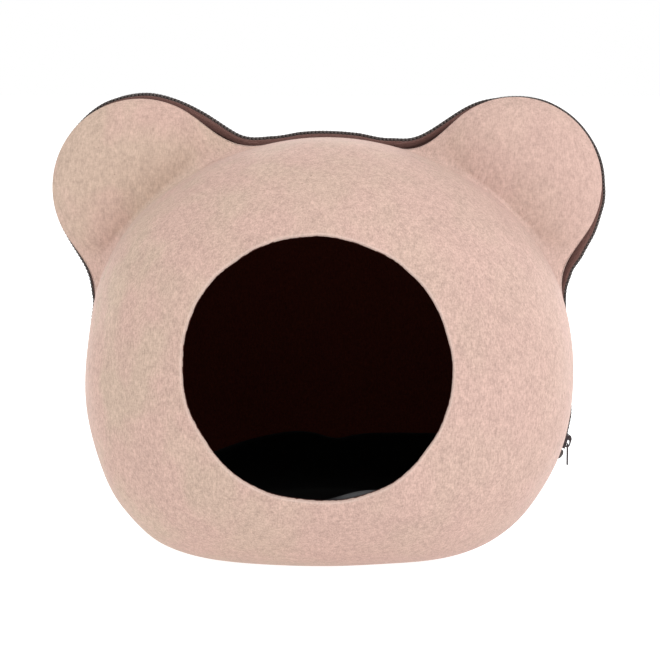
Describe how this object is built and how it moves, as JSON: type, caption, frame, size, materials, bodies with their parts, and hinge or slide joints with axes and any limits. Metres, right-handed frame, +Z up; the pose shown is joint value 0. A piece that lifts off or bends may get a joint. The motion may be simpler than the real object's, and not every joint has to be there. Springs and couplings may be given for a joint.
{
  "type": "felt cat cave",
  "caption": "Bear-headed felt cat cave: two moulded felt halves zipped together over the ears, a round door in front and a padded mat inside.",
  "frame": {"origin": "on the ground, under the middle of the whole cave", "axes": "+Z up, -Y out of the door, +X to the right seen from the front"},
  "size_m": [0.4574, 0.3398, 0.3811],
  "materials": {
    "felt": "matt heathered pink-beige felt, dark brown inside",
    "zip_tape": "matt woven reddish-brown tape",
    "zip_teeth": "dark grey moulded plastic",
    "zip_metal": "dark lacquered metal",
    "mat": "black short-pile plush"
  },
  "bodies": {
    "root": {"front_shell": "felt", "back_shell": "felt", "zip_tape_front": "zip_tape", "zip_tape_back": "zip_tape", "zip_chain": "zip_teeth", "zip_slider": "zip_metal", "zip_pull": "zip_metal", "zip_stop": "zip_teeth", "mat": "mat"}
  },
  "joints": []
}
